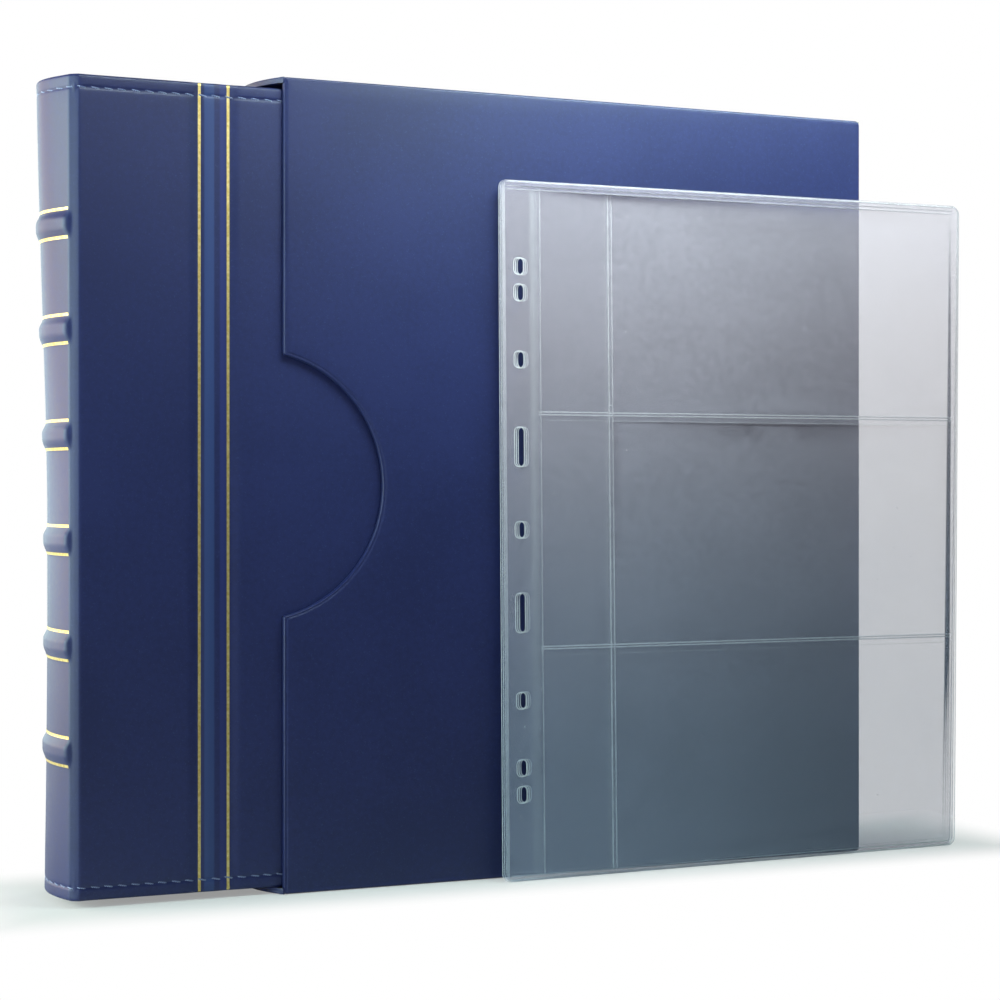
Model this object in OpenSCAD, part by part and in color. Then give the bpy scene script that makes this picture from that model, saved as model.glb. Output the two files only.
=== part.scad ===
// Stamp album: a ring binder with a rounded, banded spine, half drawn from its slipcase,
// with three loose pocket pages leaning on the front of the case. Sizes are in millimetres.
// X runs along the case from its mouth to its closed end, Y from front to back, Z is up.
// The origin is the centre of the slipcase's underside.

/* [Binder] */
// Height of the binder
album_h = 350.5; // [345:0.5:370]
// Width of the binder, from spine corner to fore-edge
album_w = 290; // [285:1:320]
// Thickness of the closed binder
album_t = 51.6; // [50:0.2:60]
// How far the binder is drawn out of the slipcase
drawn_out = 92; // [0:1:140]
// Thickness of the leather
leather_t = 0.7; // [0.5:0.05:0.9]
// Thickness of the foam under the leather of the covers
padding_t = 1.2; // [0.8:0.1:1.6]
// Thickness of the cover boards
board_t = 2; // [1.6:0.1:2.4]
// Thickness of the endpapers and of the leather turned in beside them
endpaper_t = 0.5; // [0.3:0.1:0.7]
// Width of the leather turned in round the inside of the covers
turn_in = 12; // [8:1:18]

/* [Spine] */
// How far the spine bulges past its corners
spine_sag = 4.5; // [3:0.5:6]
// Radius of the corner between spine and cover
corner_r = 4; // [3:0.5:6]
// Thickness of the curved spine board
spine_board_t = 2.2; // [1.8:0.1:2.6]
// Number of raised bands across the spine
band_count = 6; // [3:1:7]
// Distance between the raised bands
band_pitch = 44.9; // [35:0.1:48]
// Width of a raised band
band_w = 10.2; // [7:0.2:12]
// Height of a raised band above the spine
band_rise = 2; // [1.2:0.1:2.6]

/* [Gold lines and hinges] */
// Width of a gold line
line_w = 1.6; // [1:0.1:2.4]
// Thickness of the gold foil
foil_t = 0.12; // [0.08:0.02:0.2]
// Distance from a band's middle to the gold line above or below it
line_offset = 6.05; // [5.5:0.05:7]
// Distance from the spine corner to the first gold line on the cover
strip_w = 55; // [45:1:65]
// Distance between the two gold lines, with the hinge bead between them
hinge_w = 12.8; // [10:0.2:16]
// Depth of the groove under each of these two lines
groove_d = 0.8; // [0.5:0.1:1]
// Drop of the bead from its crest to its edges
bead_drop = 0.7; // [0.4:0.1:0.9]

/* [Slipcase] */
// Thickness of the leather on the slipcase
case_skin_t = 0.5; // [0.4:0.05:0.7]
// Thickness of the slipcase boards
case_board_t = 1.7; // [1.4:0.1:2.2]
// Thickness of the slipcase lining
lining_t = 0.4; // [0.3:0.05:0.6]
// Gap between the binder and each side of the slipcase
side_gap = 0.6; // [0.4:0.1:1.5]
// Gap under the binder
foot_gap = 0.3; // [0.2:0.1:0.6]
// Gap over the binder
head_gap = 2; // [1:0.1:4]
// Gap behind the binder when it is pushed home
end_gap = 1.4; // [1:0.1:4]
// Radius of the slipcase's outer edges
case_edge_r = 1.2; // [0.8:0.1:1.3]
// Height of each thumb cut-out along the mouth
thumb_h = 114.6; // [90:0.2:130]
// Depth of each thumb cut-out
thumb_depth = 46; // [30:0.5:52]
// How far the curved lips of the top and bottom stand out of the mouth
lip_sag = 10; // [7:0.5:14]

/* [Ring mechanism] */
// Radius of the rings, to the middle of the wire
ring_r = 14; // [13:0.5:15]
// Diameter of the ring wire
wire_d = 3; // [2.4:0.1:3.2]
// Distance between neighbouring rings
ring_pitch = 80; // [70:1:85]
// Length of the ring plate
plate_len = 318; // [300:1:326]
// Width of the ring plate
plate_w = 26; // [26:0.5:28]
// Height of the ring plate's arch
plate_rise = 8.5; // [8.5:0.1:9]
// Thickness of the plate and of the two blades under it
steel_t = 1; // [0.8:0.1:1.1]
// Thickness of the packing strip at its edges
packing_edge_t = 1.84; // [1.6:0.02:2.2]
// Width of the lever's thumb tab
tab_w = 12; // [8:0.5:14]

/* [Pages] */
// Width of a page
page_w = 246; // [230:1:250]
// Height of a page
page_h = 318; // [316:1:330]
// Thickness of one film of a page
film_t = 0.2; // [0.15:0.05:0.25]
// Room in a pocket between its two films
pocket_gap = 0.2; // [0.1:0.05:0.3]
// Distance from the page's edge to the middle of its holes
hole_edge = 10; // [9:0.1:11]
// Width of a hole
hole_w = 4.6; // [4.5:0.1:5]
// Height of a hole
hole_h = 7.2; // [7:0.1:9]
// Height of the two long holes
slot_h = 17.6; // [16:0.2:22]
// Distance from the page's edge to the weld beside the holes
strip_weld = 18.9; // [17:0.1:21]
// Distance from the page's edge to the second upright weld
second_weld = 54.4; // [45:0.2:120]
// Number of pages on the rings
filed_count = 4; // [1:1:4]
// Distance from the mouth to the loose pages
loose_shift = 99.2; // [60:0.2:130]
// Sideways step from one loose page to the next
loose_step = 1.3; // [0:0.1:4]
// Distance from the case to the foot of the rearmost loose page
loose_foot = 9; // [6:0.5:20]

/* [Hidden] */
$fn = 64;
big = 1000; // longer than anything here
overcut = 1; // how far a cutter passes through what it cuts
lap = 0.3; // how far shapes that make one piece run into each other

// ---- derived sizes of the slipcase
case_wall = case_skin_t + case_board_t + lining_t;
case_w = album_w + end_gap + case_wall;
case_t = album_t + 2 * side_gap + 2 * case_wall;
hang = 0.05; // between the wire and the top of the hole that hangs on it
page_drop = (hole_h - wire_d) / 2 - hang; // how far the pages' middle hangs under the binder's
below_cover = max(0, (page_h - album_h) / 2 + page_drop); // of pages taller than the binder
above_cover = max(0, (page_h - album_h) / 2 - page_drop);
case_h = album_h + below_cover + above_cover + foot_gap + head_gap + 2 * case_wall;
mouth_x = -case_w / 2;
end_x = case_w / 2;
lip_r = (pow(case_t / 2, 2) + pow(lip_sag, 2)) / (2 * lip_sag);
thumb_r = (pow(thumb_h / 2, 2) + pow(thumb_depth, 2)) / (2 * thumb_depth);
seam_inset = 3; // how far the top and bottom leather stops short of the edges

// ---- derived sizes of the binder; its own frame has the spine corners at x = 0
corner_x = mouth_x - drawn_out;
album_z = case_wall + foot_gap + below_cover;
half_t = album_t / 2;
spine_r = (pow(half_t, 2) + pow(spine_sag, 2)) / (2 * spine_sag);
spine_cx = spine_r - spine_sag; // middle of the spine's arc
cover_t = leather_t + padding_t + board_t + endpaper_t;
spine_t = leather_t + spine_board_t;
spine_lining_t = 0.4;
lining_in = spine_t + spine_lining_t; // depth of the spine lining's inner face
least_fillet = 0.5; // a corner rounder than this gets its fillet
hinge_margin = 3; // from a gold line to the edge of the board beside it
strip_start = 5; // from the spine corner to the strip board
board_gap = 0.5; // between neighbouring boards
core_short = 0.6; // degrees by which the bands' cores stop short of their leather
hinge_a = strip_w - hinge_margin;
hinge_b = strip_w + hinge_w + hinge_margin;
bead_half = (hinge_w - line_w) / 2;
bead_r = (pow(bead_half, 2) + pow(bead_drop, 2)) / (2 * bead_drop);

// ---- derived sizes of the ring mechanism
mid_z = album_h / 2;
packing_half = 15;
packing_x = packing_edge_t + spine_cx
    - sqrt(pow(spine_r - lining_in, 2) - pow(packing_half, 2)); // flat face of the packing strip
packing_short = 2; // from each end of the packing strip to that of the plate
packing_len = plate_len - 2 * packing_short;
arch_r = (pow(plate_w / 2, 2) + pow(plate_rise, 2)) / (2 * plate_rise);
arch_cx = packing_x + plate_rise - arch_r;
curl_t = 1.4; // height of the plate's curled edges
curl_gap = 0.3; // between a blade and the curled edge under it
blade_x = packing_x + curl_t + curl_gap; // underside of the blades
blade_top = blade_x + steel_t;
pivot_x = blade_x + steel_t / 2;
pivot_y = 9.9; // outer edges of the blades, which they turn about
blade_gap = 0.3; // between the two blades
curl_reach = 1.3; // how far the curled edge reaches in under the blade
ring_foot_y = 6.6;
ring_cx = blade_top + sqrt(pow(ring_r, 2) - pow(ring_foot_y, 2));
foot_angle = 180 - asin(ring_foot_y / ring_r);
foot_spare = 10; // more wire, which the face of the blade cuts off
tip_angle = 0.2; // leaves the closed tips just apart
peg_r = wire_d / 2 - 0.1; // end of a half ring, in its hole in the blade
peg_rise = 0.8; // how far the peg reaches up into the wire
slot_clear = 0.6; // above and below the wire, in its slot in the plate
slot_in = 2.2; // from the wire's foot to the slot's inner end
slot_lift = 0.1; // between the blades and the slots' feet
ring_heights = [for (k = [-1.5, -0.5, 0.5, 1.5]) mid_z + k * ring_pitch];
rivet_heights = [mid_z - ring_pitch, mid_z + ring_pitch];
rivet_r = 2;
rivet_clear = 1; // between a rivet and the notch round it in the blades
rivet_head_r = 3.5;
rivet_head_t = 0.9;
rivet_set = 0.05; // from a rivet's end to the leather over it
pin_inset = 5.5; // from each end of the plate to its lever pin
pin_off = plate_len / 2 - pin_inset; // lever pins from mid-height
pin_rise = 0.7; // lever pins over the underside of the blades
pin_x = blade_x + pin_rise;
pin_r = 0.9;
pin_clear = 0.1;
hub_r = 2.2;
hub_w = 8;
hub_gap = 0.5; // between a lever's hub and the blades
blade_len = 2 * (pin_off - hub_r - hub_gap);
nose_reach = 4.5;
nose_w = 2.8;
nose_t = 1.2;
tongue_t = 1.6;
tab_out = 6.4; // from the lever's pin to the inner face of its tab
tab_top = 17; // height of the tab's end over the spine corners

// ---- derived sizes of the pages
page_t = 2 * film_t + pocket_gap;
weld_w = 2.4;
weld_rise = 0.1; // how far the welds stand out of the front film
page_gap = 0.05; // the pages all but touch
page_pitch = page_t + weld_rise + page_gap;
page_x = ring_cx + ring_r - hole_edge; // edge of the filed pages in the binder
hole_r = 1.4; // corner radius of the holes
page_foot = mid_z - page_h / 2 - page_drop;
row_count = 3; // pockets, one above another
row_h = page_h / row_count;
loose_count = 3;
weld_lap = 1; // how far a pocket's film runs into the weld at the free edge
slit_h = 1.2; // opening at the top of each pocket
right_weld = 7; // width of the weld at the page's free edge
top_weld = 4.4; // width of the weld at the page's top
page_corner_r = 3;
lean_gap = 0.3; // between the leaning page's top and the case
lean = asin((loose_foot - lean_gap) / page_h);

navy = [0.13, 0.17, 0.40];
dark = [0.10, 0.09, 0.12];
gold = [0.86, 0.76, 0.42];
board_grey = [0.62, 0.60, 0.55];
foam_white = [0.90, 0.88, 0.82];
paper_blue = [0.16, 0.19, 0.34];
steel = [0.78, 0.79, 0.81];
clear_film = [0.80, 0.84, 0.88, 0.45];

// ---- helpers
module box_between(a, b) { translate(a) cube(b - a); }

// A cylinder along X or Y, from one end point.
module rod_x(p, r, len) { translate(p) rotate([0, 90, 0]) cylinder(r = r, h = len); }
module rod_y(p, r, len) { translate(p) rotate([-90, 0, 0]) cylinder(r = r, h = len); }

module rounded_rect(w, h, r) {
    translate([r, 0]) square([w - 2 * r, h]);
    translate([0, r]) square([w, h - 2 * r]);
    for (x = [r, w - r], y = [r, h - r]) translate([x, y]) circle(r);
}

// Places a part that is drawn in the binder's own frame.
module in_binder() { translate([corner_x, 0, album_z]) children(); }

// ---- slipcase
// Half-width and heights of the room inside the boards, before the lining.
room_y = case_t / 2 - case_skin_t - case_board_t;
room_z0 = case_skin_t + case_board_t;
room_z1 = case_h - room_z0;
room_x1 = end_x - case_skin_t - case_board_t;

// Outer form of the slipcase, with its edges rounded.
module case_block() {
    intersection() {
        translate([mouth_x, 0, 0]) rotate([90, 0, 90]) linear_extrude(case_w)
            translate([-case_t / 2, 0]) rounded_rect(case_t, case_h, case_edge_r);
        linear_extrude(case_h) translate([end_x - big, -case_t / 2])
            rounded_rect(big, case_t, case_edge_r);
        translate([0, case_t / 2, 0]) rotate([90, 0, 0]) linear_extrude(case_t)
            translate([end_x - big, 0]) rounded_rect(big, case_h, case_edge_r);
    }
}

// The half-round hole for the thumb, through both sides.
module thumb_hole(r) {
    rod_y([mouth_x + thumb_depth - thumb_r, -case_t, case_h / 2], r, 2 * case_t);
}

// Plan of the lip that stands out of the mouth, drawn in by an offset.
module lip_plan(off) {
    intersection() {
        translate([mouth_x - lip_sag + lip_r, 0]) circle(r = lip_r - off, $fn = 160);
        translate([mouth_x - big, -case_t]) square([big, 2 * case_t]);
    }
}

module side_board(side) {
    y0 = side > 0 ? room_y : -room_y - case_board_t;
    difference() {
        box_between([mouth_x + case_skin_t, y0, case_skin_t],
            [end_x - case_skin_t, y0 + case_board_t, case_h - case_skin_t]);
        thumb_hole(thumb_r + case_skin_t);
    }
}

module case_front_board() { color(board_grey) side_board(-1); }
module case_rear_board() { color(board_grey) side_board(1); }

module lid_board(z) {
    translate([0, 0, z]) linear_extrude(case_board_t) {
        translate([mouth_x - lap, -room_y]) square([room_x1 - mouth_x + lap, 2 * room_y]);
        lip_plan(case_skin_t);
    }
}

module case_top_board() { color(board_grey) lid_board(room_z1); }
module case_bottom_board() { color(board_grey) lid_board(case_skin_t); }

module case_end_board() {
    color(board_grey) box_between([room_x1, -room_y, case_skin_t],
        [end_x - case_skin_t, room_y, case_h - case_skin_t]);
}

// Leather on the top, as it lies from z = 0 up, with its edge round the lip below.
module lid_leather() {
    edge_h = case_board_t + lining_t;
    linear_extrude(case_skin_t) {
        translate([mouth_x - lap, seam_inset - case_t / 2])
            square([case_w - seam_inset + lap, case_t - 2 * seam_inset]);
        lip_plan(0);
    }
    translate([0, 0, -edge_h]) linear_extrude(edge_h) difference() {
        lip_plan(0);
        lip_plan(case_skin_t);
    }
}

module case_top_leather() { color(navy) translate([0, 0, case_h - case_skin_t]) lid_leather(); }
module case_bottom_leather() {
    color(navy) translate([0, 0, case_skin_t]) mirror([0, 0, 1]) lid_leather();
}

// Leather round the sides and the closed end, turned over the top and bottom edges,
// over the mouth's edges and into the thumb cut-outs.
module case_side_leather() {
    color(navy) difference() {
        case_block();
        difference() {
            box_between([mouth_x + case_skin_t, -case_t / 2 + case_skin_t, case_skin_t],
                [end_x - case_skin_t, case_t / 2 - case_skin_t, case_h - case_skin_t]);
            thumb_hole(thumb_r + case_skin_t);
        }
        box_between([mouth_x - overcut, -room_y, room_z0], [room_x1, room_y, room_z1]);
        box_between([mouth_x - overcut, -room_y, case_skin_t],
            [mouth_x + overcut, room_y, case_h - case_skin_t]);
        thumb_hole(thumb_r);
        for (z = [-overcut, case_h - case_skin_t]) translate([0, 0, z])
            linear_extrude(case_skin_t + overcut)
                translate([mouth_x - overcut, seam_inset - case_t / 2])
                    square([case_w - seam_inset + overcut, case_t - 2 * seam_inset]);
    }
}

module case_lining() {
    color(dark) {
        difference() {
            box_between([mouth_x, -room_y, room_z0], [room_x1, room_y, room_z1]);
            box_between([mouth_x - overcut, -room_y + lining_t, room_z0 + lining_t],
                [room_x1 - lining_t, room_y - lining_t, room_z1 - lining_t]);
            thumb_hole(thumb_r);
        }
        for (z = [room_z0, room_z1 - lining_t]) translate([0, 0, z])
            linear_extrude(lining_t) {
                lip_plan(case_skin_t);
                translate([mouth_x - lap, -room_y]) square([2 * lap, 2 * room_y]);
            }
    }
}

// ---- binder
// Plan of the closed binder's outline, drawn in by one offset at the spine and another at
// the covers: a flat arc for the spine, two round corners, and the covers out to a length.
module section(spine_off, cover_off, length) {
    r = spine_r - spine_off;
    half = half_t - cover_off;
    cr = corner_r - cover_off;
    intersection() {
        if (cr > least_fillet) rounded_section(r, half, cr);
        else {
            translate([spine_cx, 0]) intersection() {
                circle(r = r, $fn = 360);
                square([3 * r, 2 * half], center = true);
            }
            translate([spine_cx, -half]) square([big, 2 * half]);
        }
        translate([length - big, -half_t]) square([big, 2 * half_t]);
    }
}

// The same with a fillet between the spine's arc and each cover.
module rounded_section(r, half, cr) {
    fillet_x = spine_cx - sqrt(pow(r - cr, 2) - pow(half - cr, 2));
    reach = 2 * r;
    slope = (half - cr) / (spine_cx - fillet_x);
    translate([spine_cx, 0]) intersection() {
        circle(r = r, $fn = 360);
        polygon([[0, 0], [-reach, -reach * slope], [-reach, reach * slope]]);
    }
    for (s = [-1, 1]) translate([fillet_x, s * (half - cr)]) circle(cr);
    translate([fillet_x, -half]) square([big, 2 * half]);
}

// Part of the wall between two such outlines.
module layer(outer, inner, length) {
    difference() {
        section(outer[0], outer[1], length);
        section(inner[0], inner[1], big / 2);
    }
}

spine_half_angle = asin((half_t - corner_r) / (spine_r - corner_r));
band_r = (pow(band_w / 2, 2) + pow(band_rise, 2)) / (2 * band_rise);
band_heights = [for (k = [0 : band_count - 1]) mid_z + (k - (band_count - 1) / 2) * band_pitch];

// Sweeps a profile round the spine's arc, over an angle to each side of its middle.
module round_spine(half_angle) {
    translate([spine_cx, 0, 0]) rotate([0, 0, 180 - half_angle])
        rotate_extrude(angle = 2 * half_angle, $fn = 360) children();
}

// Rounded profile of a raised band: its crest is drawn in by off, its foot is at foot_r.
module band_profile(off, foot_r) {
    intersection() {
        translate([spine_r + band_rise - band_r, 0]) circle(band_r - off);
        translate([foot_r, -band_w / 2]) square([spine_r - foot_r + band_rise, band_w]);
    }
}

module band_cores() {
    for (z = band_heights) translate([0, 0, z]) round_spine(spine_half_angle - core_short)
        band_profile(leather_t, spine_r - leather_t);
}

module spine_lines() {
    for (z = band_heights, s = [-1, 1]) translate([0, 0, z + s * line_offset - line_w / 2])
        round_spine(spine_half_angle)
            translate([spine_r - foil_t, 0]) square([foil_t, line_w]);
}

// Both grooves of one cover's hinge and the sides of the bead between them, as a cutter.
module hinge_cut(side) {
    scale([1, side, 1]) translate([0, 0, -overcut]) linear_extrude(album_h + 2 * overcut) {
        for (x = [strip_w, strip_w + hinge_w]) translate([x - line_w / 2, half_t - groove_d])
            square([line_w, groove_d + overcut]);
        difference() {
            translate([strip_w + line_w / 2, half_t - bead_drop])
                square([2 * bead_half, bead_drop + overcut]);
            translate([strip_w + hinge_w / 2, half_t - bead_r]) circle(r = bead_r, $fn = 128);
        }
    }
}

// Space in the leather for the boards and foam, and for the endpapers and spine lining.
module leather_pockets() {
    inner = cover_t - endpaper_t;
    translate([0, 0, leather_t]) linear_extrude(album_h - 2 * leather_t) difference() {
        layer([leather_t, leather_t], [spine_t, inner], album_w - leather_t);
        for (s = [-1, 1]) scale([1, s])
            translate([hinge_a, half_t - leather_t - padding_t])
                square([hinge_b - hinge_a, padding_t + leather_t]);
    }
    translate([0, 0, turn_in]) linear_extrude(album_h - 2 * turn_in)
        layer([spine_t, inner], [lining_in + overcut, cover_t + overcut], album_w - turn_in);
}

// One leather cover runs round both covers and the spine, and over the raised bands.
module binder_leather() {
    color(navy) in_binder() difference() {
        union() {
            linear_extrude(album_h) layer([0, 0], [lining_in, cover_t], album_w);
            for (z = band_heights) translate([0, 0, z]) round_spine(spine_half_angle)
                band_profile(0, spine_r - leather_t / 2);
        }
        leather_pockets();
        band_cores();
        spine_lines();
        for (s = [-1, 1]) hinge_cut(s);
    }
}

module spine_board() {
    color(board_grey) in_binder() translate([0, 0, leather_t])
        difference() {
            linear_extrude(album_h - 2 * leather_t)
                layer([leather_t, leather_t], [spine_t, cover_t - endpaper_t], strip_start - board_gap);
            for (z = rivet_heights) translate([0, 0, z - leather_t]) rivet_hole();
        }
}

module raised_bands() { color(board_grey) in_binder() band_cores(); }
module spine_gold_lines() { color(gold) in_binder() spine_lines(); }

module spine_lining() {
    color(dark) in_binder() translate([0, 0, turn_in]) difference() {
        linear_extrude(album_h - 2 * turn_in)
            layer([spine_t, cover_t - endpaper_t], [lining_in, cover_t], strip_start);
        for (z = rivet_heights) translate([0, 0, z - turn_in]) rivet_hole();
    }
}

// A flat piece of one cover: side, reach along X, and depth below the cover's face.
module cover_piece(side, x0, x1, depth0, depth1, margin) {
    in_binder() scale([1, side, 1])
        box_between([x0, half_t - depth1, margin], [x1, half_t - depth0, album_h - margin]);
}

board_depth = leather_t + padding_t;
module strip_board(side) {
    color(board_grey)
        cover_piece(side, strip_start, hinge_a, board_depth, board_depth + board_t, leather_t);
}
module cover_board(side) {
    color(board_grey) cover_piece(side, hinge_b, album_w - leather_t, board_depth,
        board_depth + board_t, leather_t);
}
module padding(side) {
    color(foam_white) {
        cover_piece(side, strip_start, hinge_a, leather_t, board_depth, leather_t);
        cover_piece(side, hinge_b, album_w - leather_t, leather_t, board_depth, leather_t);
    }
}
module hinge_cord(side) {
    color(foam_white) cover_piece(side, hinge_a + board_gap, hinge_b - board_gap, board_depth,
        board_depth + board_t, leather_t);
}
module endpaper(side) {
    color(paper_blue) cover_piece(side, strip_start, album_w - turn_in, cover_t - endpaper_t,
        cover_t, turn_in);
}
module cover_lines(side) {
    color(gold) for (x = [strip_w, strip_w + hinge_w])
        cover_piece(side, x - line_w / 2, x + line_w / 2, groove_d - foil_t, groove_d, 0);
}

module front_strip_board() { strip_board(-1); }
module front_cover_board() { cover_board(-1); }
module front_padding() { padding(-1); }
module front_hinge_cord() { hinge_cord(-1); }
module front_endpaper() { endpaper(-1); }
module front_gold_lines() { cover_lines(-1); }
module rear_strip_board() { strip_board(1); }
module rear_cover_board() { cover_board(1); }
module rear_padding() { padding(1); }
module rear_hinge_cord() { hinge_cord(1); }
module rear_endpaper() { endpaper(1); }
module rear_gold_lines() { cover_lines(1); }

// ---- ring mechanism
// Fills the hollow of the spine behind the ring plate, so that the plate lies flat.
module packing_strip() {
    color(board_grey) in_binder() difference() {
        translate([0, 0, mid_z - packing_len / 2]) linear_extrude(packing_len) intersection() {
            translate([spine_cx, 0]) circle(r = spine_r - lining_in, $fn = 360);
            translate([-2 * spine_sag, -packing_half])
                square([packing_x + 2 * spine_sag, 2 * packing_half]);
        }
        for (z = rivet_heights) translate([0, 0, z]) rivet_hole();
    }
}

module rivet_hole() { rod_x([-big / 2, 0, 0], rivet_r, big); }

// Arched steel plate, its long edges curled in under the blades.
module ring_plate() {
    color(steel) in_binder() difference() {
        translate([0, 0, mid_z - plate_len / 2]) linear_extrude(plate_len) {
            difference() {
                translate([arch_cx, 0]) circle(r = arch_r, $fn = 128);
                translate([packing_x - big, -plate_w]) square([big, 2 * plate_w]);
                difference() {
                    translate([arch_cx, 0]) circle(r = arch_r - steel_t, $fn = 128);
                    for (s = [-1, 1]) scale([1, s]) translate([0, pivot_y - curl_reach])
                        square([packing_x + curl_t, plate_w]);
                }
            }
        }
        for (z = ring_heights, s = [-1, 1]) scale([1, s, 1])
            box_between([blade_top + slot_lift, ring_foot_y - slot_in, z - wire_d / 2 - slot_clear],
                [big, plate_w, z + wire_d / 2 + slot_clear]);
        for (s = [-1, 1]) rod_y([pin_x, -plate_w, mid_z + s * pin_off], pin_r, 2 * plate_w);
        for (z = rivet_heights) translate([0, 0, z]) rivet_hole();
    }
}

// Rivets from the plate's crown to the outer face of the spine board.
module plate_rivets() {
    crown = packing_x + plate_rise;
    rivet_end = leather_t - spine_sag + rivet_set;
    color(steel) in_binder() for (z = rivet_heights) {
        rod_x([rivet_end, 0, z], rivet_r, crown - rivet_end);
        rod_x([crown, 0, z], rivet_head_r, rivet_head_t);
    }
}

module lever_pins() {
    reach = sqrt(pow(arch_r, 2) - pow(pin_x - arch_cx, 2));
    color(steel) in_binder() for (s = [-1, 1])
        rod_y([pin_x, -reach, mid_z + s * pin_off], pin_r, 2 * reach);
}

// One blade lies under each half of the arch and turns about its outer edge.
module blade(side) {
    color(steel) in_binder() scale([1, side, 1]) difference() {
        box_between([blade_x, blade_gap / 2, mid_z - blade_len / 2],
            [blade_top, pivot_y, mid_z + blade_len / 2]);
        for (z = ring_heights)
            rod_x([blade_x - overcut, ring_foot_y, z], peg_r, steel_t + 2 * overcut);
        for (z = rivet_heights)
            rod_x([blade_x - overcut, 0, z], rivet_r + rivet_clear, steel_t + 2 * overcut);
    }
}

// Four half rings, each with a peg through its blade.
module half_rings(side) {
    color(steel) in_binder() scale([1, side, 1]) for (z = ring_heights) {
        difference() {
            translate([ring_cx, 0, z]) rotate([0, 0, tip_angle])
                rotate_extrude(angle = foot_angle + foot_spare - tip_angle)
                    translate([ring_r, 0]) circle(wire_d / 2);
            box_between([-ring_r, -ring_r, z - ring_r], [blade_top, 2 * ring_r, z + ring_r]);
        }
        rod_x([blade_x, ring_foot_y, z], peg_r, steel_t + peg_rise);
    }
}

module front_blade() { blade(-1); }
module rear_blade() { blade(1); }
module front_half_rings() { half_rings(-1); }
module rear_half_rings() { half_rings(1); }

// A lever's nose lies under the ends of the blades and its tab stands beyond the plate.
module lever(end) {
    color(steel) in_binder() translate([pin_x, 0, mid_z + end * pin_off]) scale([1, 1, end])
        difference() {
            union() {
                rod_y([0, -hub_w / 2, 0], hub_r, hub_w);
                box_between([-hub_r, -nose_w / 2, -nose_reach], [-hub_r + nose_t, nose_w / 2, 0]);
                box_between([-tongue_t / 2, -hub_w / 2, 0],
                    [tongue_t / 2, hub_w / 2, tab_out + tongue_t / 2]);
                translate([-tongue_t / 2, 0, tab_out]) linear_extrude(tongue_t) {
                    translate([0, -tab_w / 2]) square([tab_top - pin_x - tab_w / 2, tab_w]);
                    translate([tab_top - pin_x - tab_w / 2, 0]) circle(tab_w / 2);
                }
            }
            rod_y([0, -hub_w, 0], pin_r + pin_clear, 2 * hub_w);
        }
}

module top_lever() { lever(1); }
module bottom_lever() { lever(-1); }

// ---- pages
// The outer rings take short holes and the inner ones long holes, which sit nearer to
// mid-height than their rings; the rest are for other binders. All are from mid-height.
slot_shift = 2.3;
spare_step = 12; // from an outer ring's hole to the spare one beside it
spare_hole = 77.5;
outer_hole = 1.5 * ring_pitch;
slot_hole = ring_pitch / 2 - slot_shift;
hole_offsets = [0, for (s = [-1, 1], k = [spare_hole, outer_hole - spare_step, outer_hole]) s * k];
slot_offsets = [-slot_hole, slot_hole];

module punched(y_from, h_hole) {
    translate([hole_edge - hole_w / 2, y_from - h_hole / 2])
        rounded_rect(hole_w, h_hole, hole_r);
}

module page_holes() {
    for (k = hole_offsets) punched(page_h / 2 + k, hole_h);
    for (k = slot_offsets) punched(page_h / 2 + k, slot_h);
}

// Back film, pocket films in front of it with a slit over each, and the welds between.
module page_flat() {
    linear_extrude(film_t) difference() {
        rounded_rect(page_w, page_h, page_corner_r);
        page_holes();
    }
    translate([0, 0, film_t]) linear_extrude(pocket_gap + film_t + weld_rise) {
        translate([0, page_corner_r]) square([weld_w, page_h - 2 * page_corner_r]);
        translate([strip_weld - weld_w / 2, weld_w]) square([weld_w, page_h - weld_w - top_weld]);
        translate([second_weld - weld_w / 2, weld_w])
            square([weld_w, page_h - weld_w - top_weld - slit_h]);
        translate([page_w - right_weld, page_corner_r])
            square([right_weld, page_h - 2 * page_corner_r]);
        translate([page_corner_r, page_h - top_weld]) square([page_w - 2 * page_corner_r, top_weld]);
        for (k = [0 : row_count - 1]) translate([max(strip_weld, page_corner_r), k * row_h])
            square([page_w - strip_weld - (k == 0 ? page_corner_r : 0), weld_w]);
    }
    for (k = [0 : row_count - 1]) translate([strip_weld, k * row_h, film_t + pocket_gap])
        cube([page_w - strip_weld - right_weld + weld_lap,
            row_h - slit_h - (k == row_count - 1 ? top_weld : 0), film_t]);
}

// A page upright: its back film's face on y = 0, its foot on z = 0, facing the front.
module page() { rotate([90, 0, 0]) page_flat(); }

module filed_pages() {
    color(clear_film) in_binder() for (k = [0 : filed_count - 1])
        translate([page_x, (filed_count / 2 - k) * page_pitch, page_foot]) page();
}

// Loose pages lean back on the case, one behind the other, each standing on its back edge.
module loose_page(k) {
    color(clear_film) translate([mouth_x + loose_shift + k * loose_step,
        -case_t / 2 - loose_foot - (loose_count - 1 - k) * page_pitch / cos(lean), 0])
        rotate([-lean, 0, 0]) page();
}

module loose_page_front() { loose_page(0); }
module loose_page_middle() { loose_page(1); }
module loose_page_rear() { loose_page(loose_count - 1); }

case_front_board();
case_rear_board();
case_top_board();
case_bottom_board();
case_end_board();
case_side_leather();
case_top_leather();
case_bottom_leather();
case_lining();
spine_board();
raised_bands();
spine_gold_lines();
binder_leather();
front_strip_board();
front_cover_board();
front_padding();
front_hinge_cord();
front_endpaper();
front_gold_lines();
rear_strip_board();
rear_cover_board();
rear_padding();
rear_hinge_cord();
rear_endpaper();
rear_gold_lines();
spine_lining();
packing_strip();
ring_plate();
plate_rivets();
lever_pins();
front_blade();
front_half_rings();
rear_blade();
rear_half_rings();
top_lever();
bottom_lever();
filed_pages();
loose_page_front();
loose_page_middle();
loose_page_rear();
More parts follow.
